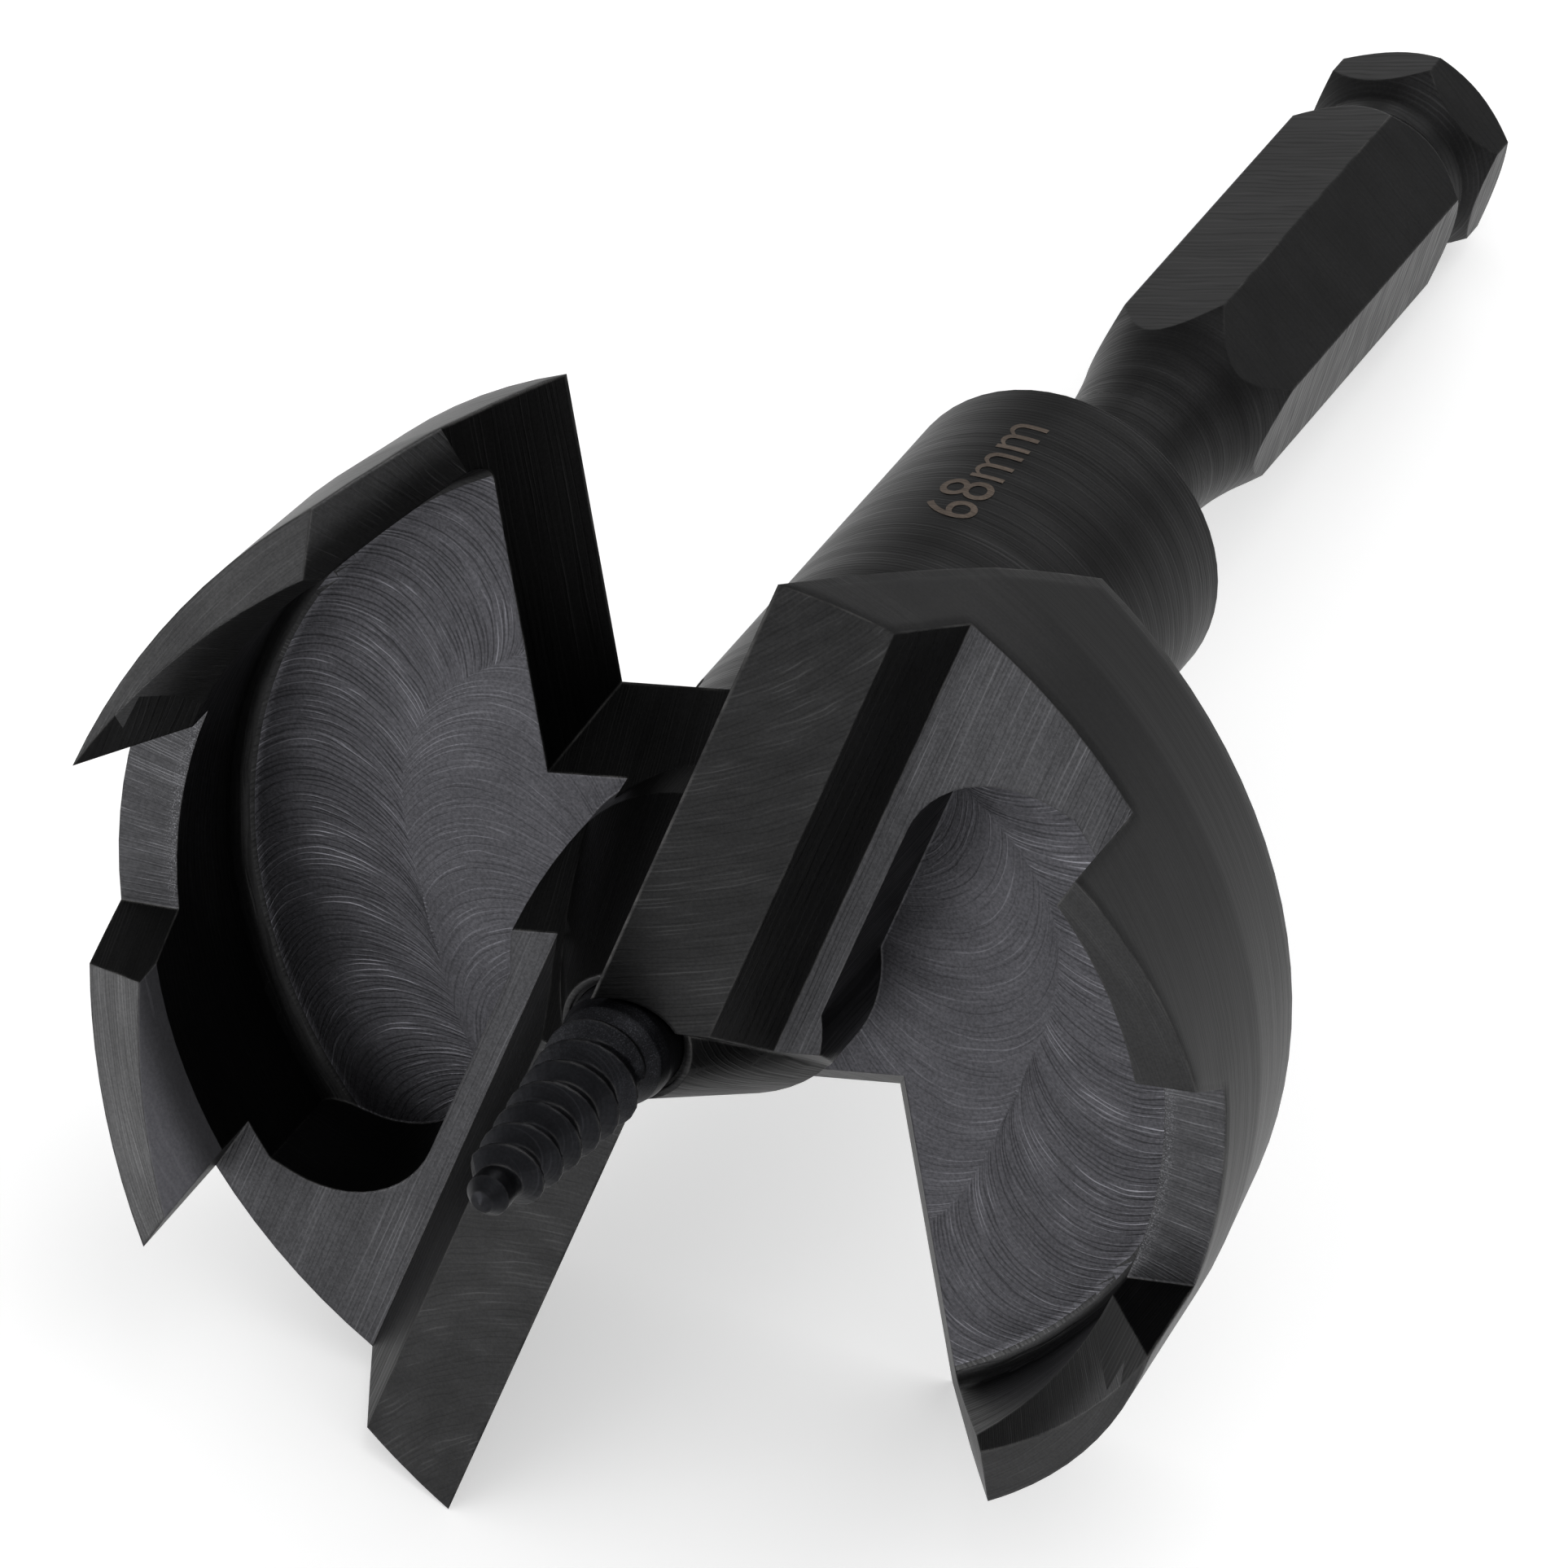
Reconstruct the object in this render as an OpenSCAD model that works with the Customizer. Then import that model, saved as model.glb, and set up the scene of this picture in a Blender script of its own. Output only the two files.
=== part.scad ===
// Self-feed wood bit with two winged blades, a toothed rim and a screwed-in feed point.
// Sizes are in millimetres. The bit is drawn upright, cutting edges at height zero,
// and is then laid on its side the way it rests on a bench.

/* [Head] */
// Diameter that the rim teeth and blades cut
cut_d = 68; // [50:0.5:90]
// Slope of the outside of the rim, which narrows away from the teeth
rim_slope = 4; // [0:0.5:6]
// Diameter of the flat back of the head
back_d = 64; // [46:0.5:88]
// Length of the straight band of the rim below the cutting edges
band_h = 12.8; // [9:0.1:18]
// Overall depth of the head behind the cutting edges
head_h = 19.8; // [16:0.1:26]
// Thickness of the plate that is left under each pocket
plate_t = 4.75; // [3:0.05:8]
// Wall left between the pocket and the outside of the rim
rim_wall = 4.1; // [3:0.1:6]
// Depth of the lands and gullets below the cutting edges
land_h = 7.2; // [5:0.1:9]
// Radius in the bottom corner of the pocket
pocket_fillet = 1.3; // [0.4:0.1:2.5]
// Radius of the milled inside corner next to the blade
pocket_r = 6.6; // [3:0.1:9]

/* [Blades] */
// Distance of each cutting edge ahead of the centre line
edge_lead = 2.3; // [1.5:0.1:3.2]
// Width of the raised flank behind each cutting edge
flank_w = 6.5; // [4:0.1:8]
// Clearance angle of the blades and teeth
clearance = 16.8; // [10:0.1:22]
// Width of the slope from the flank down to the land
step_w = 2.65; // [1:0.05:4]
// Distance of the pocket edge behind the centre line
strip_y = 8.4; // [7:0.1:10]

/* [Teeth] */
// Direction of the tooth next to the blade
tooth2_a = -34.6; // [-42:0.1:-28]
// Height of the tooth next to the blade above the cutting edges
tooth2_h = 1.25; // [0:0.05:2]
// Direction of the foot of that tooth
foot2_a = -64.4; // [-70:0.1:-56]
// Lean of the wall that rises from the gullet to that tooth
foot_lean = 27; // [10:1:40]
// Direction of the trailing tooth
tooth1_a = -86.9; // [-94:0.1:-80]
// Height of the trailing tooth above the cutting edges
tooth1_h = 0.35; // [0:0.05:2]
// Turn of the front face of each tooth away from the radius
tooth_skew = 25; // [0:1:35]
// Width of the flat back at the point of the tooth next to the blade
tooth2_w = 1.9; // [0.5:0.1:3]
// Slope of the bevel inside the tooth next to the blade
bevel2_a = 23; // [15:1:45]
// Slope of the bevel inside the trailing tooth
bevel1_a = 36; // [20:1:45]

/* [Throats] */
// Direction of the trailing wall of the throat
throat_a = 31; // [20:0.5:40]
// Lean of the trailing wall and of the rake face
throat_lean = 32; // [20:0.5:40]
// Lean of the end wall beside the hub
end_lean = 35.5; // [25:0.5:42]
// Distance of the trailing wall from the centre at the pocket floor
throat_side = 9.45; // [8:0.05:12]
// Distance of the end wall from the centre at the pocket floor
throat_end = 8.8; // [8:0.05:11]
// Radius of the cone round the feed screw at its small end
throat_core = 3.9; // [3.7:0.05:5]
// Depth below the cutting edges where that cone ends
cone_h = 12.8; // [9:0.1:14]

/* [Hub and shank] */
// Diameter of the hub behind the head
hub_d = 20; // [16:0.1:26]
// Length of the hub behind the head
hub_h = 41; // [20:0.5:60]
// Chamfer on the shank end of the hub
hub_chamfer = 0.6; // [0.2:0.1:1.5]
// Diameter of the neck between hub and hex
neck_d = 9.4; // [7:0.1:10]
// Length of the straight neck
neck_h = 9.2; // [6:0.1:24]
// Length of the flare that runs out into the hex
runout_h = 10; // [3:0.1:12]
// Hex size across flats
hex_af = 11.11; // [9.5:0.01:13]
// Length of the hex shank with its groove and end
hex_h = 43.3; // [28:0.1:60]
// Turn of the hex about the axis
hex_turn = 4.5; // [0:0.5:60]
// Distance of the groove from the end of the shank
groove_pos = 6.2; // [5:0.1:12]
// Diameter at the bottom of the groove
groove_d = 9.8; // [8:0.1:10.5]
// Chamfer on the end of the shank
shank_chamfer = 1.6; // [0.5:0.1:2.5]

/* [Feed screw] */
// Diameter of the plain shank of the feed screw
screw_d = 6.6; // [5:0.1:7]
// Depth that the feed screw reaches behind the cutting edges
screw_depth = 33; // [28:0.5:44]
// Height of the tip above the cutting edges
screw_h = 16.4; // [10:0.1:24]
// Pitch of the wood thread
pitch = 2; // [1.5:0.05:4]
// Diameter over the thread at the tip end
thread_tip_d = 4.1; // [3:0.1:5]
// Depth of the thread
thread_depth = 0.85; // [0.4:0.05:1.2]
// Turn of the thread about the axis
thread_turn = 62; // [0:1:359]
// Diameter of the pilot nose
pilot_d = 2.5; // [1.5:0.1:3]

/* [Set screw] */
// Thread diameter of the set screw
grub_d = 6; // [4:0.1:6.5]
// Distance of the set screw behind the head
grub_pos = 7; // [5:0.5:11]
// Direction of the set screw about the axis
grub_a = -96; // [-180:1:180]
// Length of the set screw
grub_len = 6; // [4:0.1:7]
// Hex socket size across flats
grub_af = 3; // [2:0.1:3.5]

/* [Fits and rest] */
// Running clearance on each side of a fitted piece
fit = 0.05; // [0.02:0.01:0.2]
// Turn about the axis that sets both throat corners on the bench
lie_roll = -105.864; // [-180:0.001:180]
// Rise of the axis from shank to head when it lies on the bench
lie_tilt = 13.606; // [0:0.001:30]
// Shift that centres the laid bit from front to back
lie_y = -47.665; // [-100:0.001:100]
// Height of the cutting centre above the bench
lie_z = 32.413; // [0:0.001:60]

/* [Hidden] */
$fn = 96;
eps = 0.01;
cut_r = cut_d / 2;
back_r = back_d / 2;
hub_r = hub_d / 2;
neck_r = neck_d / 2;
hex_r = hex_af / sqrt(3);
pocket_out = cut_r - rim_wall;
boss_r = hub_r - 0.55;
floor_z = plate_t - head_h;
lean = tan(throat_lean);
end_slope = tan(end_lean);
slope = tan(clearance);
heel_y = edge_lead - flank_w;
heel_z = -flank_w * slope;
front = 6;
far = cut_r + 12;
deep = -head_h - 20;
hub_z = -head_h - hub_h;
runout_z = hub_z - neck_h;
end_z = runout_z - hex_h;
groove_z = end_z + groove_pos;
core_drop = 2.2;
strip_x = sqrt(pow(pocket_out, 2) - pow(strip_y + pocket_r + 1.5, 2)) - pocket_r;
screw_r = screw_d / 2;
bore_r = screw_r + fit;
thread_from = 0.65;
thread_top = screw_h - 2.2;
thread_r0 = screw_r - 0.05;
thread_r1 = thread_tip_d / 2;
flat_r = screw_r - 0.6;
grub_z = -head_h - grub_pos;
grub_r = grub_d / 2;

// Everything ahead of or behind an upright plane through one point of the rim
module half(angle, lead, skew = 0) {
    rotate([0, 0, angle])
        translate([cut_r, 0, 0])
            rotate([0, 0, skew])
                translate([-2 * far, lead ? 0 : -4 * far, deep])
                    cube([4 * far, 4 * far, 2 * front - deep]);
}

// A profile of depth and height run straight along one direction
module run(angle, points, from, to) {
    rotate([0, 0, angle])
        translate([from, 0, 0])
            rotate([90, 0, 90])
                linear_extrude(to - from)
                    polygon(points);
}

// Turned blank of the head with its tapered back
module head_blank() {
    rotate_extrude()
        polygon([
            [0, tooth2_h + 1],
            [cut_r + (tooth2_h + 1) * tan(rim_slope), tooth2_h + 1],
            [cut_r - band_h * tan(rim_slope), -band_h],
            [back_r, -head_h],
            [0, -head_h]
        ]);
}

// Outline of one milled pocket, seen from the cutting side
module pocket_outline() {
    difference() {
        intersection() {
            circle(pocket_out);
            union() {
                translate([-far, -far - strip_y])
                    square([far + strip_x, far]);
                translate([-far, -far - strip_y - pocket_r])
                    square([far + strip_x + pocket_r, far]);
                translate([strip_x, -strip_y - pocket_r])
                    circle(pocket_r);
            }
        }
        circle(boss_r);
    }
}

// Rounded corner between the pocket floor and the rim
module corner_round() {
    intersection() {
        rotate_extrude()
            difference() {
                translate([pocket_out - pocket_fillet, floor_z - eps])
                    square([pocket_fillet + eps, pocket_fillet + eps]);
                translate([pocket_out - pocket_fillet, floor_z + pocket_fillet])
                    circle(pocket_fillet);
            }
        half(tooth2_a + 10, false);
        half(-180, true);
    }
}

// Slanted throat that lets the chips out ahead of one blade
module throat() {
    difference() {
        intersection() {
            run(0, [
                [far, deep],
                [edge_lead + deep * lean, deep],
                [edge_lead + front * lean, front],
                [far, front]
            ], -far, far);
            run(throat_a - 90, [
                [far, deep],
                [throat_end - (deep - floor_z) * end_slope, deep],
                [throat_end - (front - floor_z) * end_slope, front],
                [far, front]
            ], -far, far);
            run(throat_a, [
                [-far, deep],
                [throat_side + (deep - floor_z) * lean, deep],
                [throat_side + (front - floor_z) * lean, front],
                [-far, front]
            ], -far, far);
        }
        rotate_extrude()
            polygon([
                [0, deep - 1],
                [boss_r, deep - 1],
                [boss_r, -cone_h],
                [throat_core, -core_drop],
                [0, -core_drop]
            ]);
    }
}

// Part of the rim that carries the teeth of one wing
module tooth_zone(lead_a) {
    difference() {
        intersection() {
            half(lead_a, false, tooth_skew);
            half(-158, true);
        }
        translate([0, 0, deep - 1])
            cylinder(r = pocket_out - 4, h = 3 * front - deep);
    }
}

// Front of one blade: flank, slope and the flat land behind it
module blade_front() {
    difference() {
        run(0, [
            [edge_lead + 1.5 + front * lean, front],
            [edge_lead + 1.5, 1.5 * slope],
            [heel_y, heel_z],
            [heel_y - step_w, -land_h],
            [-far, -land_h],
            [-far, front]
        ], -0.3, far);
        tooth_zone(tooth2_a);
    }
}

// Gullet and relieved backs of the two rim teeth of one wing
module tooth_backs() {
    intersection() {
        union() {
            run(tooth2_a, [
                [1, front],
                [1, tooth2_h + slope],
                [-far, tooth2_h - far * slope],
                [-far, front]
            ], 0, far);
            run(foot2_a, [
                [-far, front],
                [-far, -land_h],
                [0, -land_h],
                [(front + land_h) * tan(foot_lean), front]
            ], 0, far);
        }
        half(tooth1_a, true, tooth_skew);
        tooth_zone(tooth2_a + 1);
    }
    intersection() {
        run(tooth1_a, [
            [1, front],
            [1, tooth1_h + slope],
            [-far, tooth1_h - far * slope],
            [-far, front]
        ], 0, far);
        tooth_zone(tooth1_a + 1);
    }
}

// Ground bevel inside the rim behind one tooth
module tooth_bevel(lead_a, tip_h, tip_w, angle) {
    top_r = cut_r - tip_w + (front - tip_h) * tan(angle);
    low_r = pocket_out - 1;
    low_z = tip_h - (cut_r - tip_w - low_r) / tan(angle);
    intersection() {
        translate([0, 0, low_z])
            cylinder(r1 = low_r, r2 = top_r, h = front - low_z);
        tooth_zone(lead_a + 0.5);
    }
}

// Hex shank, turned to a flare at the neck and chamfered at the end
module shank() {
    flare = [
        for (i = [0 : 6])
            let (t = i / 6)
                [neck_r + (hex_r + 0.1 - neck_r) * pow(t, 1.7), runout_z - runout_h * t]
    ];
    difference() {
        intersection() {
            translate([0, 0, end_z])
                rotate([0, 0, hex_turn])
                    cylinder(r = hex_r, h = hex_h + eps, $fn = 6);
            rotate_extrude()
                polygon(concat(
                    [[0, runout_z + eps], [neck_r, runout_z + eps]],
                    flare,
                    [
                        [hex_r + 0.1, end_z + shank_chamfer],
                        [hex_r + 0.1 - shank_chamfer, end_z],
                        [0, end_z]
                    ]
                ));
        }
        rotate_extrude()
            polygon([
                [groove_d / 2, groove_z - 0.8],
                [groove_d / 2, groove_z + 0.6],
                [hex_r + 1, groove_z + 4.4],
                [hex_r + 1, groove_z - 4.6]
            ]);
    }
}

module cutter_body() {
    color([0.13, 0.13, 0.14])
    lay_down()
    difference() {
        union() {
            difference() {
                head_blank();
                for (turn = [0, 180])
                    rotate([0, 0, turn])
                        translate([0, 0, floor_z])
                            linear_extrude(front - floor_z)
                                pocket_outline();
            }
            for (turn = [0, 180])
                rotate([0, 0, turn])
                    corner_round();
            translate([0, 0, hub_z])
                rotate_extrude()
                    polygon([
                        [0, 0],
                        [hub_r - hub_chamfer, 0],
                        [hub_r, hub_chamfer],
                        [hub_r, hub_h + eps],
                        [0, hub_h + eps]
                    ]);
            translate([0, 0, runout_z])
                cylinder(r = neck_r, h = neck_h + eps);
            shank();
        }
        for (turn = [0, 180])
            rotate([0, 0, turn]) {
                throat();
                blade_front();
                tooth_backs();
                tooth_bevel(tooth2_a, tooth2_h, tooth2_w, bevel2_a);
                tooth_bevel(tooth1_a, tooth1_h, 0, bevel1_a);
            }
        translate([0, 0, -screw_depth - 1])
            cylinder(r = bore_r, h = screw_depth + 1 + front);
        translate([0, 0, -2.4])
            cylinder(r = bore_r + 0.22, h = 2.4 + front);
        rotate([0, 0, grub_a])
            translate([0, 0, grub_z])
                rotate([0, 90, 0])
                    cylinder(r = grub_r, h = hub_r + 1);
    }
}

// Corners of the thread section at one turn angle, narrowing to nothing at both ends
function thread_ring(a, turns) =
    let (
        z = thread_from + a / 360 * pitch,
        t = (z - thread_from) / (thread_top - thread_from),
        fade = max(0.08, min(1, a / 150, (turns - a) / 75)),
        r_out = thread_r0 + (thread_r1 - thread_r0) * t,
        r_in = r_out - thread_depth - 0.12,
        r_top = r_in + (thread_depth + 0.12) * fade
    )
    [
        [r_in * cos(a), r_in * sin(a), z - pitch * 0.48],
        [r_top * cos(a), r_top * sin(a), z - pitch * 0.05],
        [r_top * cos(a), r_top * sin(a), z + pitch * 0.03],
        [r_in * cos(a), r_in * sin(a), z + pitch * 0.42]
    ];

// Wood thread that winds up the tapered core
module wood_thread() {
    step = 15;
    turns = floor((thread_top - thread_from) / pitch * 360 / step) * step;
    count = turns / step + 1;
    rings = [for (i = [0 : count - 1]) thread_ring(i * step, turns)];
    points = [for (ring = rings) for (p = ring) p];
    sides = [
        for (i = [0 : count - 2])
            for (k = [0 : 3])
                let (a = 4 * i + k, b = 4 * i + (k + 1) % 4)
                    each [[a, b, b + 4], [a, b + 4, a + 4]]
    ];
    last = 4 * (count - 1);
    caps = [[3, 2, 1], [3, 1, 0], [last, last + 1, last + 2], [last, last + 2, last + 3]];
    polyhedron(points, concat(sides, caps), convexity = 8);
}

module feed_screw() {
    core_low = thread_r0 - thread_depth;
    core_top = thread_r1 - thread_depth;
    color([0.17, 0.17, 0.18])
    lay_down() {
        difference() {
            rotate_extrude($fn = 48)
                polygon([
                    [0, -screw_depth],
                    [screw_r - 0.6, -screw_depth],
                    [screw_r, -screw_depth + 0.6],
                    [screw_r, thread_from - 1.4],
                    [screw_r - 0.2, thread_from - 0.6],
                    [core_low, thread_from + 0.5],
                    [core_top, thread_top],
                    [pilot_d / 2, thread_top + 0.5],
                    [pilot_d / 2, screw_h - 0.9],
                    [pilot_d / 2 - 0.6, screw_h - 0.15],
                    [0, screw_h]
                ]);
            rotate([0, 0, grub_a])
                translate([flat_r, -screw_r, grub_z - grub_r - 1])
                    cube([screw_r, 2 * screw_r, grub_d + 2]);
        }
        rotate([0, 0, thread_turn])
            wood_thread();
    }
}

module set_screw() {
    color([0.2, 0.2, 0.21])
    lay_down()
        rotate([0, 0, grub_a])
            translate([flat_r + fit, 0, grub_z])
                rotate([0, 90, 0])
                    difference() {
                        rotate_extrude($fn = 48)
                            polygon([
                                [0, 0],
                                [grub_r - fit - 0.9, 0],
                                [grub_r - fit, 0.9],
                                [grub_r - fit, grub_len - 0.4],
                                [grub_r - fit - 0.4, grub_len],
                                [0, grub_len]
                            ]);
                        translate([0, 0, grub_len * 0.45])
                            cylinder(r = grub_af / sqrt(3), h = grub_len, $fn = 6);
                    }
}

// Lays the upright drawing down on the bench, cutting end to the front
module lay_down() {
    translate([0, lie_y, lie_z])
        rotate([90 - lie_tilt, 0, 0])
            rotate([0, 0, lie_roll])
                children();
}

cutter_body();
feed_screw();
set_screw();
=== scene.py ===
"""Dresses the self-feed wood bit in black-oxide steel with its tool marks, on a plain pale stage."""

import math

import bmesh
import bpy
from bpy.props import FloatProperty, FloatVectorProperty, PointerProperty, StringProperty
from mathutils import Matrix, Vector


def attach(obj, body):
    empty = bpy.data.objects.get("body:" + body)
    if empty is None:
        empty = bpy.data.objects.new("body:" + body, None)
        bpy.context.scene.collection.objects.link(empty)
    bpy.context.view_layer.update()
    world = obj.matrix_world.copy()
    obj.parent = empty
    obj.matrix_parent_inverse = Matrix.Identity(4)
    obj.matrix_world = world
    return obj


bl_info = {
    "name": "Self-feed Bit Dresser",
    "version": (1, 0, 0),
    "blender": (4, 5, 0),
    "location": "3D View > Sidebar > Wood Bit",
    "description": "Finishes the packed self-feed wood bit and sets its stage",
    "category": "Object",
}

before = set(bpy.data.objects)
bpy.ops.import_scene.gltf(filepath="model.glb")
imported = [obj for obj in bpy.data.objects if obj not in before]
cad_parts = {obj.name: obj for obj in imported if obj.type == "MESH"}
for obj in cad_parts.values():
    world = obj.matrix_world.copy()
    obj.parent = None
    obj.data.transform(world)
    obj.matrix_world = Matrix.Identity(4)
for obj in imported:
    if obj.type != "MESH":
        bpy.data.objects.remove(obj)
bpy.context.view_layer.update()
BODY = "root"
MM = 0.001

# The bit's own axes in the row frame: Z runs up the feed screw, the cutting edges lie at Z zero
LIE_ROLL = math.radians(-105.864)
LIE_TILT = math.radians(13.606)
CUT_CENTRE = Vector((0.0, -47.665, 32.413)) * MM
BIT_TURN = Matrix.Rotation(math.pi / 2 - LIE_TILT, 4, "X") @ Matrix.Rotation(LIE_ROLL, 4, "Z")
BIT_TO_ROW = Matrix.Translation(CUT_CENTRE) @ BIT_TURN

# Levels, radii and turns of the cutter body in millimetres and degrees, as in the part's source
FLOOR_Z = -15.05
LAND_Z = -7.2
BACK_Z = -19.8
NECK_END_Z = -70.0
HUB_R = 10.0
POCKET_R = 29.9
GULLET_FROM, GULLET_TO = -88.5, -63.0
TOOTH_FROM, TOOTH_TO = -123.0, -33.0
THROAT_TURN = math.radians(31)

# How much of a face's normal runs with the bit's axis where the face counts as level or nearly so
LEVEL, NEARLY_LEVEL = 0.97, 0.9
# Least share of the sideways slope that points at the axis on the pocket floor's round lip
LIP_FACING = 0.97

# Radius that turns an angle into a length along the rim, and along the arcs over the blades
RIM_R, FLANK_ARC_R = 32.0, 30.0
# Centre of the arcs over the blades
FLANK_ARC_X, FLANK_ARC_Y = 44.0, 22.0

# How far the oxide steel behaves as metal, and the tint of its edge-on gloss
OXIDE_METAL = 0.95
EDGE_TINT = (0.78, 0.78, 0.78, 1.0)


class BitSizes(bpy.types.PropertyGroup):
    """Scale of the tool marks and of the size mark."""

    mill_pass_outer: FloatProperty(
        name="Outer mill pass", default=24.5,
        description="Radius of the cutter's path along the rim, in mm",
    )
    mill_pass_inner: FloatProperty(
        name="Inner mill pass", default=13.4,
        description="Radius of the cutter's path round the boss, in mm",
    )
    mill_outer: FloatProperty(
        name="Outer arcs", description="Radius of the arcs along the rim, in mm", default=5.7
    )
    mill_inner: FloatProperty(
        name="Inner arcs", description="Radius of the arcs round the boss, in mm", default=7.4
    )
    mill_border: FloatProperty(
        name="Pass border", description="Radius where the two mill passes meet, in mm", default=19.6
    )
    wear_width: FloatProperty(
        name="Wear width", default=0.00022, unit="LENGTH",
        description="Width of the worn line along the edges",
    )
    mark_size: FloatProperty(
        name="Mark size", description="Letter size of the size mark", default=0.0046, unit="LENGTH"
    )
    mark_text: StringProperty(
        name="Size mark", description="Cutting diameter marked on the hub", default="68mm"
    )


class BitColours(bpy.types.PropertyGroup):
    """Colours of the oxide finish, mark and stage."""

    oxide: FloatVectorProperty(
        name="Oxide", description="Black oxide on turned and ground steel", subtype="COLOR",
        default=(0.0130, 0.0130, 0.0133), min=0, max=1,
    )
    milled: FloatVectorProperty(
        name="Milled floor", description="Oxide on the milled pocket floors", subtype="COLOR",
        default=(0.070, 0.0695, 0.077), min=0, max=1,
    )
    ground: FloatVectorProperty(
        name="Ground land", subtype="COLOR", default=(0.054, 0.054, 0.0575), min=0, max=1,
        description="Thinner oxide on the ground lands and gullets",
    )
    screw: FloatVectorProperty(
        name="Screws", description="Oxide on the feed screw and set screw", subtype="COLOR",
        default=(0.0130, 0.0133, 0.0152), min=0, max=1,
    )
    flank: FloatVectorProperty(
        name="Blade flank", subtype="COLOR", default=(0.0245, 0.0245, 0.025), min=0, max=1,
        description="Oxide on the flanks of the blades and the backs of the teeth",
    )
    bare: FloatVectorProperty(
        name="Worn edge", description="Steel that shows where the oxide is worn", subtype="COLOR",
        default=(0.19, 0.185, 0.18), min=0, max=1,
    )
    etch: FloatVectorProperty(
        name="Laser mark", description="Warm tone of the laser mark", subtype="COLOR",
        default=(0.118, 0.094, 0.077), min=0, max=1,
    )
    stage: FloatVectorProperty(
        name="Stage", description="Pale floor", subtype="COLOR",
        default=(0.86, 0.86, 0.86), min=0, max=1,
    )


def wire(tree, kind, settings=None, inputs=None):
    """Adds a node, sets its properties and fills its inputs with values or links."""
    node = tree.nodes.new(kind)
    for key, value in (settings or {}).items():
        setattr(node, key, value)
    for key, value in (inputs or {}).items():
        if isinstance(value, bpy.types.NodeSocket):
            tree.links.new(value, node.inputs[key])
        else:
            node.inputs[key].default_value = value
    return node


def calc(tree, operation, a, b=0.0, c=None):
    """One Math node, as a socket."""
    inputs = {0: a, 1: b}
    if c is not None:
        inputs[2] = c
    return wire(tree, "ShaderNodeMath", {"operation": operation}, inputs).outputs[0]


def times(tree, a, b):
    """The product of two values."""
    return calc(tree, "MULTIPLY", a, b)


def distance(tree, a, b):
    """The length of a line with two given sides."""
    return calc(tree, "SQRT", calc(tree, "ADD", times(tree, a, a), times(tree, b, b)))


def ramp(tree, value, low, high, to_low=0.0, to_high=1.0):
    """A smooth step from one value to another."""
    return wire(
        tree, "ShaderNodeMapRange", {"interpolation_type": "SMOOTHSTEP"},
        {"Value": value, "From Min": low, "From Max": high, "To Min": to_low, "To Max": to_high},
    ).outputs["Result"]


def blend(tree, factor, a, b):
    """Mixes two colours."""
    node = wire(tree, "ShaderNodeMix", {"data_type": "RGBA"}, {0: factor})
    for slot, value in ((6, a), (7, b)):
        if isinstance(value, bpy.types.NodeSocket):
            tree.links.new(value, node.inputs[slot])
        else:
            node.inputs[slot].default_value = (*value, 1.0)
    return node.outputs[2]


def vector(tree, x, y, z):
    """Three values as one vector."""
    return wire(tree, "ShaderNodeCombineXYZ", None, {"X": x, "Y": y, "Z": z}).outputs[0]


def noise(tree, where, scale, detail=2.0, roughness=0.5):
    """A cloudy value from 0 to 1."""
    return wire(
        tree, "ShaderNodeTexNoise", None,
        {"Vector": where, "Scale": scale, "Detail": detail, "Roughness": roughness},
    ).outputs["Fac"]


def group(name, inputs, outputs):
    """Starts a node group with named sockets and returns it with its two ends."""
    tree = bpy.data.node_groups.new(name, "ShaderNodeTree")
    for label, kind, default in inputs:
        socket = tree.interface.new_socket(label, in_out="INPUT", socket_type=kind)
        if default is not None:
            socket.default_value = default
    for label, kind in outputs:
        tree.interface.new_socket(label, in_out="OUTPUT", socket_type=kind)
    return tree, tree.nodes.new("NodeGroupInput"), tree.nodes.new("NodeGroupOutput")


def place(tree, source, **inputs):
    """Places a node group in a material with its own values."""
    return wire(tree, "ShaderNodeGroup", {"node_tree": source}, inputs).outputs


VALUE, DIRECTION = "NodeSocketFloat", "NodeSocketVector"


def bit_axes_group():
    """Place on the bit in millimetres, along and round its own axis."""
    values = [(name, VALUE) for name in ("X", "Y", "Z", "Radius", "Turn")]
    tree, _, end = group("bit_axes", [], values + [("Place", DIRECTION)])
    where = wire(tree, "ShaderNodeTexCoord").outputs["Object"]
    turn_to_bit = {"Location": CUT_CENTRE, "Rotation": BIT_TURN.to_euler(), "Scale": (MM, MM, MM)}
    own = wire(
        tree, "ShaderNodeMapping", {"vector_type": "TEXTURE"}, {"Vector": where, **turn_to_bit}
    ).outputs[0]
    x, y, z = wire(tree, "ShaderNodeSeparateXYZ", None, {0: own}).outputs
    found = {
        "X": x, "Y": y, "Z": z, "Radius": distance(tree, x, y),
        "Turn": calc(tree, "ARCTAN2", y, x), "Place": own,
    }
    for name, socket in found.items():
        tree.links.new(socket, end.inputs[name])
    return tree


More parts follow.
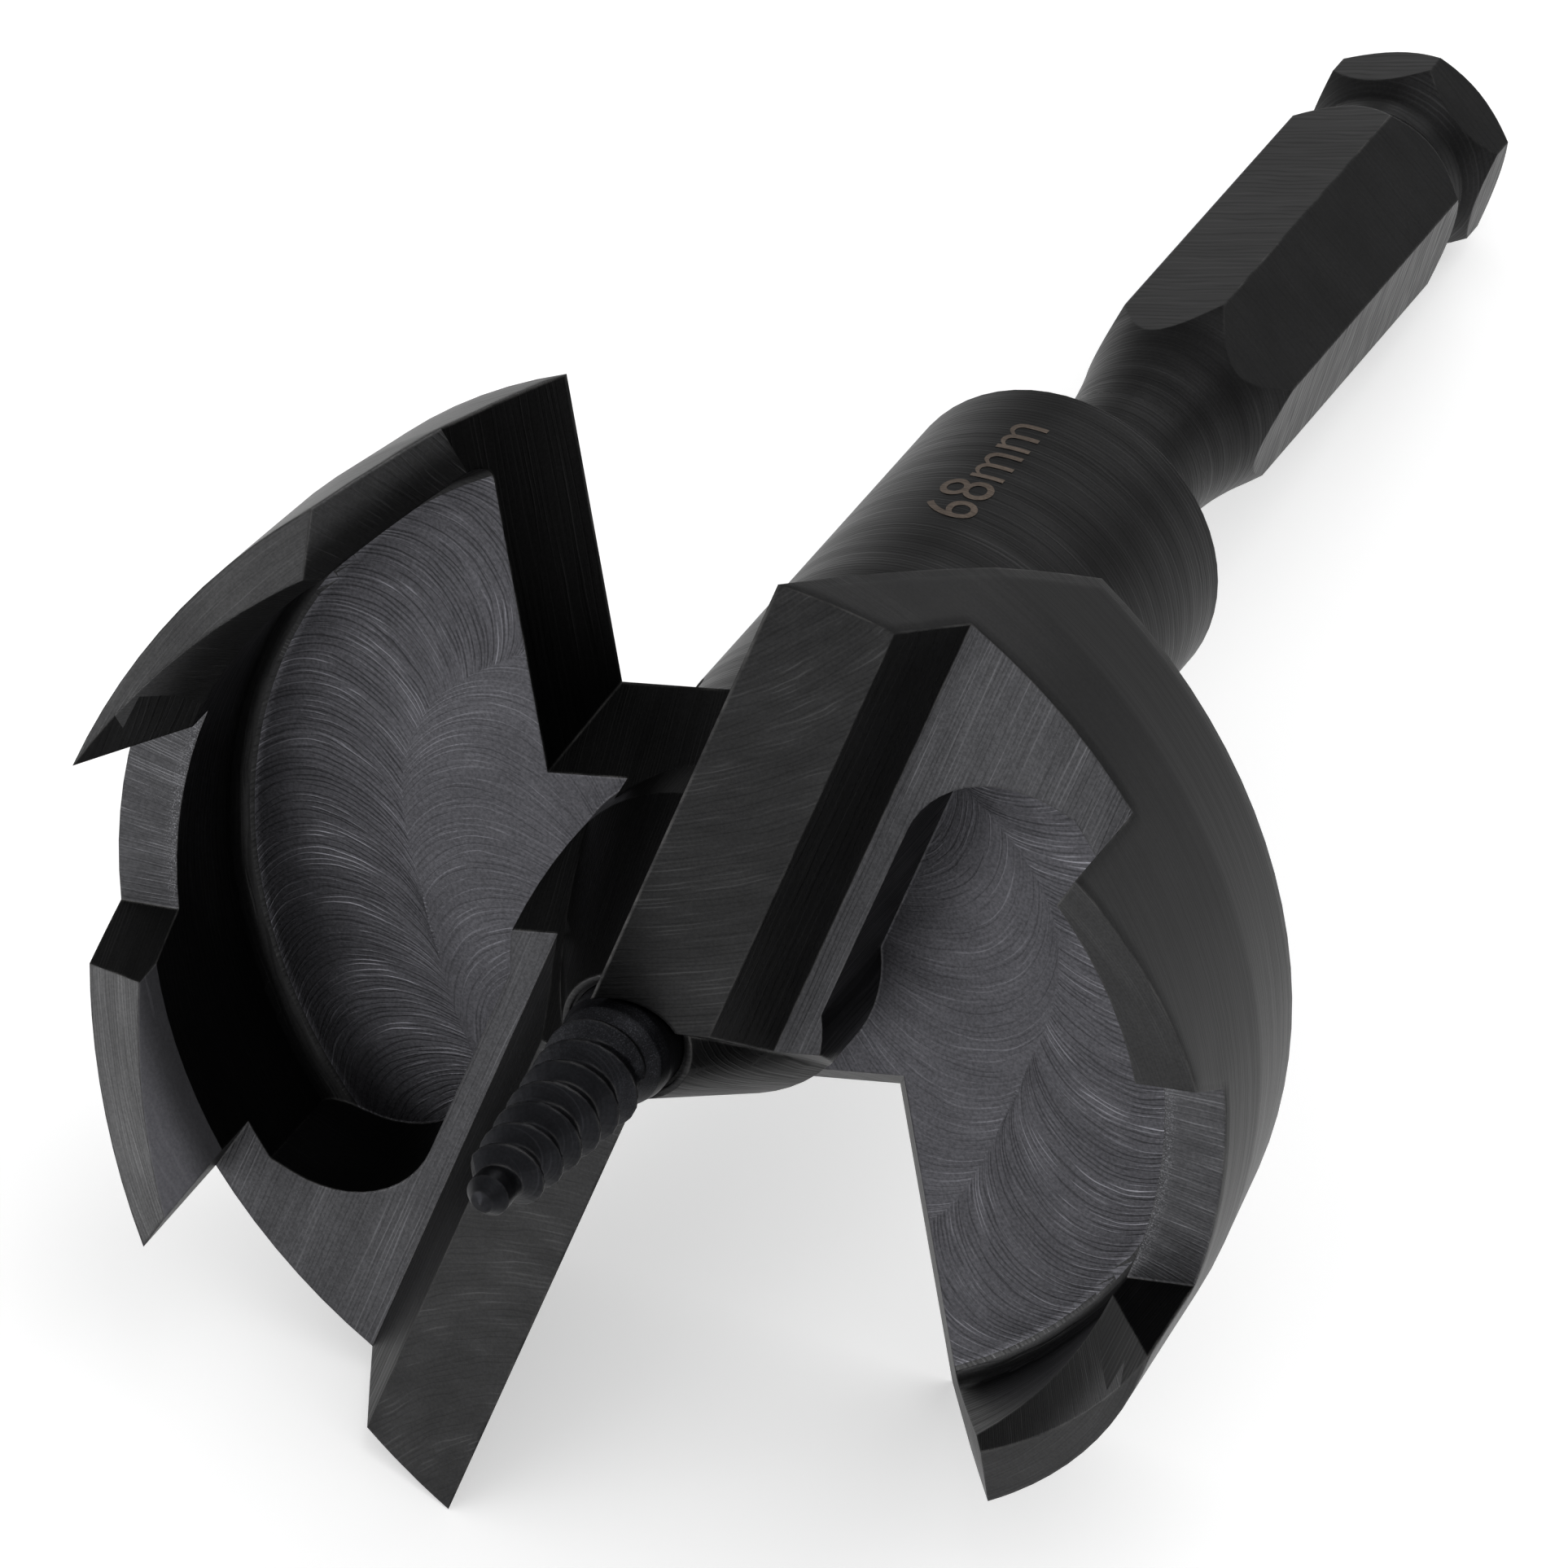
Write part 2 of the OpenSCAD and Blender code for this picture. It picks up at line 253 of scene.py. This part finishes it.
def tool_lines_group():
    """Fine parallel lines that a tool leaves, each with its own depth, and broad streaks."""
    sockets = {"Across": 0, "Along": 0, "Aside": 0, "Spacing": 0.3, "Length": 8}
    tree, start, end = group(
        "tool_lines", [(name, VALUE, default) for name, default in sockets.items()],
        [("Groove", VALUE), ("Stroke", VALUE), ("Streak", VALUE)],
    )
    get = start.outputs
    across = calc(tree, "DIVIDE", get["Across"], get["Spacing"])
    along = calc(tree, "DIVIDE", get["Along"], get["Length"])
    aside = calc(tree, "DIVIDE", get["Aside"], get["Length"])
    drift = noise(tree, vector(tree, times(tree, across, 0.3), along, aside), 1.0)
    step = calc(tree, "MULTIPLY_ADD", drift, 2.2, across)
    wave = calc(tree, "SINE", times(tree, step, 2 * math.pi))
    depth = noise(tree, vector(tree, step, times(tree, along, 1.4), aside), 0.9, 1.0)
    other = calc(tree, "ADD", aside, 7.0)
    streak = noise(tree, vector(tree, times(tree, across, 0.16), along, other), 1.0)
    # Bright lines are painted glints on the ridges of real tool marks, and scored lines are painted
    # shade in their grooves.
    light = times(tree, ramp(tree, wave, 0.35, 0.95), ramp(tree, depth, 0.44, 0.66))
    score = times(tree, ramp(tree, wave, -0.35, -0.95), ramp(tree, depth, 0.58, 0.36))
    level = calc(tree, "MULTIPLY_ADD", calc(tree, "SUBTRACT", light, score), 0.45, 0.5)
    tree.links.new(level, end.inputs["Groove"])
    tree.links.new(times(tree, light, ramp(tree, streak, 0.48, 0.62)), end.inputs["Stroke"])
    tree.links.new(streak, end.inputs["Streak"])
    return tree


def mill_arcs_group():
    """Phase of the arcs that an end mill leaves along a round path."""
    tree, start, end = group(
        "mill_arcs",
        [("Radius", VALUE, 0), ("Turn", VALUE, 0), ("Path", VALUE, 20), ("Mill", VALUE, 7)],
        [("Phase", VALUE), ("Offset", VALUE)],
    )
    get = start.outputs
    off = calc(tree, "SUBTRACT", get["Radius"], get["Path"])
    mill_square = times(tree, get["Mill"], get["Mill"])
    inside = calc(tree, "MAXIMUM", calc(tree, "SUBTRACT", mill_square, times(tree, off, off)), 0.05)
    along = times(tree, get["Turn"], get["Path"])
    tree.links.new(calc(tree, "ADD", along, calc(tree, "SQRT", inside)), end.inputs["Phase"])
    tree.links.new(off, end.inputs["Offset"])
    return tree


def oxide_tone_group():
    """Blotches and grain of an oxide bath."""
    tree, start, end = group(
        "oxide_tone", [("Place", DIRECTION, None), ("Blotch", VALUE, 0.12)],
        [("Tone", VALUE), ("Grain", VALUE)],
    )
    get = start.outputs
    blotch = noise(tree, get["Place"], 0.16, 4.0, 0.6)
    grain = noise(tree, get["Place"], 5.5, 3.0, 0.7)
    swing = times(tree, calc(tree, "SUBTRACT", blotch, 0.5), times(tree, get["Blotch"], 4.0))
    tree.links.new(calc(tree, "ADD", 1.0, swing), end.inputs["Tone"])
    tree.links.new(grain, end.inputs["Grain"])
    return tree


def edge_wear_group():
    """Worn line along the sharp edges, and a normal that eases them."""
    tree, start, end = group(
        "edge_wear", [("Width", VALUE, 0.0002), ("Place", DIRECTION, None)],
        [("Wear", VALUE), ("Soft", DIRECTION)],
    )
    get = start.outputs
    soft = wire(tree, "ShaderNodeBevel", {"samples": 4}, {"Radius": get["Width"]}).outputs[0]
    flat = wire(tree, "ShaderNodeNewGeometry").outputs["True Normal"]
    facing = wire(
        tree, "ShaderNodeVectorMath", {"operation": "DOT_PRODUCT"}, {0: soft, 1: flat}
    ).outputs["Value"]
    patchy = ramp(tree, noise(tree, get["Place"], 0.55, 3.0), 0.32, 0.72)
    tree.links.new(times(tree, ramp(tree, facing, 0.995, 0.86), patchy), end.inputs["Wear"])
    tree.links.new(soft, end.inputs["Soft"])
    return tree


GROUPS = {}


def shared_groups():
    """The node groups, built once."""
    if not GROUPS:
        GROUPS.update(
            axes=bit_axes_group(), lines=tool_lines_group(), arcs=mill_arcs_group(),
            tone=oxide_tone_group(), wear=edge_wear_group(),
        )
    return GROUPS


def turned_marks(tree, at):
    """Across, along and aside for lines that run round the axis."""
    return at["Z"], at["X"], at["Y"]


def faced_marks(tree, at):
    """Across, along and aside for the circles of a faced surface."""
    return at["Radius"], at["X"], at["Y"]


def land_marks(tree, at):
    """Across, along and aside for lines that run with the blade."""
    return at["Y"], at["X"], at["Z"]


def gullet_marks(tree, at):
    """Across, along and aside for lines that run outwards over the rim."""
    return times(tree, at["Turn"], RIM_R), at["Radius"], at["Z"]


def axial_marks(tree, at):
    """Across, along and aside for lines that run with the axis on the throat walls."""
    side_x = times(tree, at["X"], -math.sin(THROAT_TURN))
    side_y = times(tree, at["Y"], math.cos(THROAT_TURN))
    return calc(tree, "ADD", side_x, side_y), at["Z"], at["X"]


def flank_marks(tree, at):
    """Across, along and aside for the wide arcs over the blades."""
    away_x = calc(tree, "SUBTRACT", calc(tree, "ABSOLUTE", at["X"]), FLANK_ARC_X)
    wing_y = times(tree, at["Y"], calc(tree, "SIGN", at["X"]))
    away_y = calc(tree, "SUBTRACT", wing_y, FLANK_ARC_Y)
    along = times(tree, calc(tree, "ARCTAN2", away_y, away_x), FLANK_ARC_R)
    return distance(tree, away_x, away_y), along, at["X"]


def start_material(name):
    """A new material with its nodes and the place on the bit."""
    groups = shared_groups()
    material = bpy.data.materials.new(name)
    material.use_nodes = True
    return material, material.node_tree, place(material.node_tree, groups["axes"])


def oxide_material(
    name, colours, sizes, marks, colour, spacing=0.3, length=8.0, stroke=0.3, bits=None, fade=None,
    **look,
):
    """Black oxide steel with the lines of one way of machining.

    Lengths are in millimetres. bits gives an axis, two places on it and a share for bright flecks:
    real burrs and scuffs, and on the pocket lip a painted highlight.
    The gradient argument gives an axis and two places on it, between which the tone goes from dark
    to light as painted shade and highlight.
    """
    material, tree, at = start_material(name)
    across, along, aside = marks(tree, at)
    lines = place(
        tree, GROUPS["lines"],
        Across=across, Along=along, Aside=aside, Spacing=spacing, Length=length,
    )
    # Strokes lighten the colour along the tool lines: painted glints on real marks.
    strokes = times(tree, lines["Stroke"], stroke)
    if bits:
        axis, low, high, share = bits
        # Bright flecks near one place: real burrs and scuffs, and on the pocket lip a painted
        # highlight.
        burrs_and_painted_glint = ramp(tree, noise(tree, at["Place"], 13.0, 3.0), 0.50, 0.68)
        near = times(tree, ramp(tree, at[axis], low, high), share)
        strokes = calc(tree, "MAXIMUM", strokes, times(tree, near, burrs_and_painted_glint))
    streaks_and_painted_shade = lines["Streak"]
    # In place of streaks, a painted gradient from shade to highlight along one axis.
    if fade:
        axis, low, high = fade
        streaks_and_painted_shade = ramp(tree, at[axis], low, high, 0.3, 0.7)
    marks_made = (lines["Groove"], strokes, streaks_and_painted_shade)
    finish_oxide(tree, at, tuple(colour), colours.bare, sizes.wear_width, marks_made, **look)
    return material


def finish_oxide(
    tree, at, base, bare, worn, marks_made,
    rough=0.4, depth=0.02, streak=0.12, contrast=0.16, speckle=0.12, soft=None, metal=OXIDE_METAL,
):
    """Puts tone, strokes, wear and grooves on one oxide surface."""
    shader = tree.nodes["Principled BSDF"]
    groove, strokes, streaks_and_painted_shade = marks_made
    tone = place(tree, GROUPS["tone"], Place=at["Place"])
    wear = place(tree, GROUPS["wear"], Width=worn, Place=at["Place"])
    eased = place(tree, GROUPS["wear"], Width=soft, Place=at["Place"]) if soft else wear
    shade = tone["Tone"]
    # Grain, groove contrast and streaks tint the colour; the groove contrast is painted glint and
    # shade in the tool lines, and a shading ramp, where given, is painted shade and highlight.
    for value, low, high, swing in (
        (tone["Grain"], 0.36, 0.64, speckle),
        (groove, 0.1, 0.9, contrast),
        (streaks_and_painted_shade, 0.3, 0.7, streak),
    ):
        shade = times(tree, shade, ramp(tree, value, low, high, 1 - swing, 1 + swing))
    toned = wire(
        tree, "ShaderNodeVectorMath", {"operation": "SCALE"}, {0: base, "Scale": shade}
    ).outputs[0]
    # Strokes lift the colour to three times its base: painted glints.
    glinted = blend(tree, strokes, toned, tuple(3.0 * c for c in base))
    worn_through = blend(tree, times(tree, wear["Wear"], 0.32), glinted, tuple(bare))
    tree.links.new(worn_through, shader.inputs["Base Color"])
    shader.inputs["Metallic"].default_value = metal
    shader.inputs["Specular Tint"].default_value = EDGE_TINT
    polish = ramp(tree, groove, 0.25, 0.75, rough + 0.08, rough - 0.08)
    roughness = calc(tree, "ADD", polish, times(tree, tone["Grain"], 0.06))
    tree.links.new(roughness, shader.inputs["Roughness"])
    height = calc(tree, "ADD", groove, times(tree, tone["Grain"], 0.35))
    bump = wire(
        tree, "ShaderNodeBump", None,
        {"Strength": 0.6, "Distance": depth * MM, "Height": height, "Normal": eased["Soft"]},
    )
    tree.links.new(bump.outputs[0], shader.inputs["Normal"])


def milled_floor_material(colours, sizes):
    """Pocket floor with the crossing arcs of two mill passes."""
    material, tree, at = start_material("oxide_milled_floor")
    passes = []
    for path, mill, seed in (
        (sizes.mill_pass_outer, sizes.mill_outer, 3.0),
        (sizes.mill_pass_inner, sizes.mill_inner, 11.0),
    ):
        arcs = place(
            tree, GROUPS["arcs"], Radius=at["Radius"], Turn=at["Turn"], Path=path, Mill=mill
        )
        passes.append(place(
            tree, GROUPS["lines"],
            Across=arcs["Phase"], Along=arcs["Offset"], Aside=seed, Spacing=0.34, Length=5.0,
        ))
    swing = times(tree, calc(tree, "SINE", times(tree, at["Turn"], 5.0)), 0.9)
    split = calc(tree, "ADD", at["Radius"], swing)
    outer = ramp(tree, split, sizes.mill_border - 0.15, sizes.mill_border + 0.15)

    def pick(name, inner_share, middle=0.5):
        """The outer pass outside the border, and a calmer inner pass inside it."""
        calm = calc(
            tree, "MULTIPLY_ADD", passes[1][name], inner_share, middle * (1 - inner_share)
        )
        return wire(
            tree, "ShaderNodeMix", {"data_type": "FLOAT"}, {0: outer, 2: calm, 3: passes[0][name]}
        ).outputs[0]

    groove = pick("Groove", 0.4)
    # The bright strokes on the arcs are painted glints.
    strokes = times(tree, pick("Stroke", 0.22, 0.0), 0.9)
    finish_oxide(
        tree, at, tuple(colours.milled), colours.bare, sizes.wear_width,
        (groove, strokes, pick("Streak", 0.7)),
        rough=0.42, depth=0.06, streak=0.10, contrast=0.28, speckle=0.2,
    )
    return material


def bit_place(point):
    """A point of the row frame on the bit's own axes, in millimetres."""
    return (BIT_TO_ROW.inverted() @ point) / MM


def face_finish(normal, centre):
    """The finish of one face of the cutter body, from where it lies and which way it looks."""
    radius = math.hypot(centre.x, centre.y)
    outward = (normal.x * centre.x + normal.y * centre.y) / max(radius, 1e-6)
    turn = math.degrees(math.atan2(centre.y, centre.x))
    wing_turn = turn - 180 if turn > 0 else turn
    in_rim = radius > POCKET_R - 0.4
    if centre.z < NECK_END_Z and abs(normal.z) < 0.02:
        return "hex"
    if centre.z < BACK_Z + 0.02:
        return "faced" if normal.z < -NEARLY_LEVEL else "turned"
    if normal.z > LEVEL and centre.z < FLOOR_Z + 0.3:
        return "floor"
    if normal.z > LEVEL and abs(centre.z - LAND_Z) < 0.4:
        return "gullet" if in_rim and GULLET_FROM < wing_turn < GULLET_TO else "land"
    if normal.z > NEARLY_LEVEL:
        return "tooth" if in_rim and TOOTH_FROM < wing_turn < TOOTH_TO else "flank"
    if outward > 0.85 and radius > HUB_R * 3:
        return "rim"
    if 0.3 < normal.z < 0.6 and abs(normal.x) < 0.05:
        return "step"
    near_floor_edge = centre.z < FLOOR_Z + 1.3 and radius > POCKET_R - 1.6
    if near_floor_edge and normal.z > 0.1 and -outward > LIP_FACING * math.sqrt(1 - normal.z**2):
        return "lip"
    if outward < -0.3 and in_rim and normal.z > 0.15:
        return "facet" if wing_turn > GULLET_TO and centre.z > LAND_Z else "bevel"
    if outward < -0.6 and radius > HUB_R + 5:
        return "wall"
    return "throat"


class BIT_OT_finish_cutter(bpy.types.Operator):
    """Gives each face of the cutter body the finish that its machining left."""

    bl_idname = "bit.finish_cutter"
    bl_label = "Finish Cutter Body"

    def execute(self, context):
        colours, sizes = context.scene.bit_colours, context.scene.bit_sizes

        def oxide(name, marks, share=1.0, tone="oxide", **look):
            """One oxide finish, whose colour is a share of a named one."""
            colour = tuple(share * c for c in getattr(colours, tone))
            return oxide_material("oxide_" + name, colours, sizes, marks, colour, **look)

        finishes = {
            "turned": oxide("turned", turned_marks, rough=0.38, length=12, depth=0.012, streak=0.3),
            # The faced back plates get 1.9 times the oxide colour: painted light that lifts the dim
            # back of the bit.
            "faced": oxide(
                "faced", faced_marks, 1.9,
                rough=0.38, spacing=0.25, length=16, depth=0.012, contrast=0.24,
            ),
            "hex": oxide(
                "hex", turned_marks,
                rough=0.34, spacing=0.5, length=6, depth=0.004, stroke=0.05, contrast=0.08,
            ),
            "floor": milled_floor_material(colours, sizes),
            "land": oxide(
                "ground_land", land_marks, tone="ground",
                spacing=0.24, length=14, depth=0.03, stroke=0.42, speckle=0.18,
            ),
            "gullet": oxide(
                "ground_gullet", gullet_marks, tone="ground", spacing=0.22, length=6, depth=0.03,
                stroke=0.6, bits=("Radius", 30.9, 30.1, 0.9), speckle=0.16,
            ),
            "flank": oxide(
                "blade_flank", flank_marks, tone="flank",
                rough=0.36, length=5, depth=0.012, stroke=0.32,
            ),
            "tooth": oxide(
                "tooth_back", faced_marks, 1.4, "flank", rough=0.34, spacing=0.18, length=7,
                depth=0.005, stroke=0.12, streak=0.06, contrast=0.08,
            ),
            # The bevel's tone rises from dark inside to light at the outer edge: a painted
            # shade-to-highlight gradient.
            "bevel": oxide(
                "tooth_bevel", gullet_marks, 4.0,
                rough=0.42, spacing=0.2, length=5, streak=0.62, fade=("Radius", 30.4, 33.4),
            ),
            # The facet's tone goes from dark to light outwards: a painted shade-to-highlight
            # gradient.
            "facet": oxide(
                "tooth_facet", faced_marks, 1.25, "milled", rough=0.46, spacing=0.2, length=6,
                depth=0.006, stroke=0.1, streak=0.6, contrast=0.08, fade=("Radius", 29.9, 31.4),
                metal=0.3,
            ),
            # The bright flecks along the lip's inner edge are a painted highlight on the fillet.
            "lip": oxide(
                "pocket_lip", turned_marks, 1.5,
                length=7, stroke=0.1, bits=("Radius", 28.95, 28.6, 0.9),
            ),
            "step": oxide("blade_step", land_marks, 1.5, rough=0.42, spacing=0.25, length=12),
            # The rim's tone goes from dark to light towards the cutting end: painted shading that
            # also hides the crease between its two cones.
            "rim": oxide(
                "rim", turned_marks, rough=0.36, spacing=0.16, length=24, depth=0.001, stroke=0.0,
                streak=0.22, contrast=0.03, soft=0.0012, fade=("Z", -13.9, -11.7),
            ),
            # Pocket walls and throat get 0.7 of the oxide colour: painted shade for these recesses.
            "wall": oxide("pocket_wall", turned_marks, 0.7, rough=0.44, spacing=0.4, length=9),
            "throat": oxide("throat", axial_marks, 0.7, spacing=0.2, length=10),
        }
        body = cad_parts["cutter_body"].data
        body.materials.clear()
        for material in finishes.values():
            body.materials.append(material)
        names = list(finishes)
        turn_back = BIT_TURN.to_3x3().transposed()
        for face in body.polygons:
            finish = face_finish(turn_back @ face.normal, bit_place(face.center))
            face.material_index = names.index(finish)
        return {"FINISHED"}


class BIT_OT_finish_screws(bpy.types.Operator):
    """Finishes the feed screw and the set screw."""

    bl_idname = "bit.finish_screws"
    bl_label = "Finish Screws"

    def execute(self, context):
        colours, sizes = context.scene.bit_colours, context.scene.bit_sizes
        for node, rough, spacing in (("feed_screw", 0.38, 0.16), ("set_screw", 0.42, 0.12)):
            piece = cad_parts[node].data
            piece.materials.clear()
            piece.materials.append(oxide_material(
                "oxide_" + node, colours, sizes, turned_marks, colours.screw, rough=rough,
                spacing=spacing, length=7, depth=0.004, contrast=0.06, bits=("Z", 6.0, 1.0, 0.8),
            ))
        return {"FINISHED"}


class BIT_OT_size_mark(bpy.types.Operator):
    """Marks the cutting diameter on the hub, wrapped round it."""

    bl_idname = "bit.size_mark"
    bl_label = "Mark Size"

    # Start of the first letter and turn of its foot, width of the strips that bend, height over
    # the hub, half thickness, and how far the strokes are drawn in, in millimetres and radians
    START_Z = -44.9
    BASE_TURN = math.radians(-165.5)
    SLICE = 0.15
    PROUD = 0.012
    THICK = 0.006
    THINNER = -0.015

    def flat_letters(self, sizes):
        """The letters as a flat mesh, in millimetres."""
        text = bpy.data.curves.new("size_text", "FONT")
        text.body = sizes.mark_text
        text.size = sizes.mark_size / MM
        text.extrude = self.THICK
        text.offset = self.THINNER
        holder = bpy.data.objects.new("size_text", text)
        mesh = bpy.data.meshes.new_from_object(holder)
        bpy.data.objects.remove(holder)
        return mesh

    def wrap(self, mesh):
        """Cuts the letters into strips and bends them round the hub."""
        shape = bmesh.new()
        shape.from_mesh(mesh)
        top = max(v.co.y for v in shape.verts)
        bottom = min(v.co.y for v in shape.verts)
        for step in range(1, int((top - bottom) / self.SLICE) + 1):
            bmesh.ops.bisect_plane(
                shape, geom=shape.verts[:] + shape.edges[:] + shape.faces[:], dist=1e-6,
                plane_co=(0, bottom + step * self.SLICE, 0), plane_no=(0, 1, 0),
            )
        for vert in shape.verts:
            reach = HUB_R + self.PROUD + vert.co.z
            turn = self.BASE_TURN + vert.co.y / HUB_R
            along = self.START_Z - vert.co.x
            spot = Vector((reach * math.cos(turn), reach * math.sin(turn), along))
            vert.co = BIT_TO_ROW @ (spot * MM)
        bmesh.ops.recalc_face_normals(shape, faces=shape.faces)
        shape.to_mesh(mesh)
        shape.free()

    def execute(self, context):
        colours, sizes = context.scene.bit_colours, context.scene.bit_sizes
        mesh = self.flat_letters(sizes)
        self.wrap(mesh)
        mark = bpy.data.objects.new("size_mark", mesh)
        context.scene.collection.objects.link(mark)
        mesh.materials.clear()
        mesh.materials.append(oxide_material(
            "laser_mark", colours, sizes, turned_marks, colours.etch,
            rough=0.5, spacing=0.2, length=10, depth=0.004, stroke=0.0,
        ))
        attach(mark, BODY)
        return {"FINISHED"}


class BIT_OT_stage(bpy.types.Operator):
    """Sets the pale floor, soft light and camera."""

    bl_idname = "bit.stage"
    bl_label = "Set Stage"

    # Camera axes on the bit, fitted to the photograph, and its place in millimetres
    CAMERA_RIGHT = Vector((-0.3281, 0.8475, -0.4173))
    CAMERA_UP = Vector((-0.7177, -0.5109, -0.4732))
    CAMERA_BACK = Vector((-0.6142, 0.1442, 0.7759))
    CAMERA_AT = Vector((-628.0, 144.7, 764.9))
    LENS, SENSOR = 420.78, 36.0
    # Soft lamps: name, place in metres, width, height and power in watts
    LAMPS = (
        ("top_soft", (0.45, 0.25, 1.2), 1.3, 1.3, 5.0),
        ("left_soft", (-0.95, -1.2, 0.20), 1.2, 0.38, 11.0),
        ("back_soft", (0.15, 1.7, 0.62), 1.4, 0.6, 3.6),
    )
    LAMPS_FACE = Vector((0, -0.03, 0.03))
    WORLD_LIGHT = 0.6
    FLOOR_SIZE = 12.0
    FLOOR_GLOW = 0.42

    def floor(self, context):
        """A pale floor that looks white and keeps the bit's shadow."""
        bpy.ops.mesh.primitive_plane_add(size=self.FLOOR_SIZE)
        floor = context.object
        floor.name = "stage_floor"
        material = bpy.data.materials.new("stage_pale")
        material.use_nodes = True
        tree = material.node_tree
        shader = tree.nodes["Principled BSDF"]
        shader.inputs["Base Color"].default_value = (*context.scene.bit_colours.stage, 1.0)
        shader.inputs["Roughness"].default_value = 0.9
        shader.inputs["Specular IOR Level"].default_value = 0.1
        path = wire(tree, "ShaderNodeLightPath").outputs
        mirrored = calc(tree, "MAXIMUM", path["Is Glossy Ray"], path["Is Transmission Ray"])
        seen = calc(tree, "MAXIMUM", path["Is Camera Ray"], mirrored)
        tree.links.new(times(tree, seen, self.FLOOR_GLOW), shader.inputs["Emission Strength"])
        shader.inputs["Emission Color"].default_value = (1, 1, 1, 1)
        floor.data.materials.append(material)

    def lights(self, context):
        """An even white world and three soft lamps."""
        world = bpy.data.worlds.new("studio")
        context.scene.world = world
        world.use_nodes = True
        sky = world.node_tree.nodes["Background"].inputs
        sky["Color"].default_value = (1, 1, 1, 1)
        sky["Strength"].default_value = self.WORLD_LIGHT
        for name, where, width, height, power in self.LAMPS:
            lamp = bpy.data.lights.new(name, "AREA")
            lamp.shape = "RECTANGLE"
            lamp.size, lamp.size_y = width, height
            lamp.energy = power
            holder = bpy.data.objects.new(name, lamp)
            holder.location = where
            aim = self.LAMPS_FACE - Vector(where)
            holder.rotation_euler = aim.to_track_quat("-Z", "Y").to_euler()
            context.scene.collection.objects.link(holder)

    def camera(self, context):
        """The camera at the photograph's angle."""
        lens = bpy.data.cameras.new("photo_camera")
        lens.lens = self.LENS
        lens.sensor_width = self.SENSOR
        lens.clip_start, lens.clip_end = 0.05, 50.0
        holder = bpy.data.objects.new("photo_camera", lens)
        context.scene.collection.objects.link(holder)
        turn = BIT_TURN.to_3x3()
        own_axes = (self.CAMERA_RIGHT, self.CAMERA_UP, self.CAMERA_BACK)
        axes = Matrix([turn @ axis.normalized() for axis in own_axes]).transposed()
        stand = Matrix.Translation(BIT_TO_ROW @ (self.CAMERA_AT * MM))
        holder.matrix_world = stand @ axes.to_4x4()
        context.scene.camera = holder

    def execute(self, context):
        context.scene.view_settings.view_transform = "Standard"
        self.floor(context)
        self.lights(context)
        self.camera(context)
        return {"FINISHED"}


class BIT_PT_panel(bpy.types.Panel):
    """Lists the steps that dress the bit."""

    bl_label = "Wood Bit"
    bl_idname = "BIT_PT_panel"
    bl_space_type = "VIEW_3D"
    bl_region_type = "UI"
    bl_category = "Wood Bit"

    def draw(self, context):
        for settings in (context.scene.bit_sizes, context.scene.bit_colours):
            for name in settings.__annotations__:
                self.layout.prop(settings, name)
        for step in STEPS:
            self.layout.operator(step.bl_idname)


STEPS = (BIT_OT_finish_cutter, BIT_OT_finish_screws, BIT_OT_size_mark, BIT_OT_stage)
CLASSES = (BitSizes, BitColours, *STEPS, BIT_PT_panel)


def register():
    for cls in CLASSES:
        bpy.utils.register_class(cls)
    bpy.types.Scene.bit_sizes = PointerProperty(type=BitSizes)
    bpy.types.Scene.bit_colours = PointerProperty(type=BitColours)


def unregister():
    del bpy.types.Scene.bit_colours
    del bpy.types.Scene.bit_sizes
    for cls in reversed(CLASSES):
        bpy.utils.unregister_class(cls)


def main():
    register()
    bpy.ops.bit.finish_cutter()
    bpy.ops.bit.finish_screws()
    bpy.ops.bit.size_mark()
    bpy.ops.bit.stage()


if __name__ == "__main__":
    main()
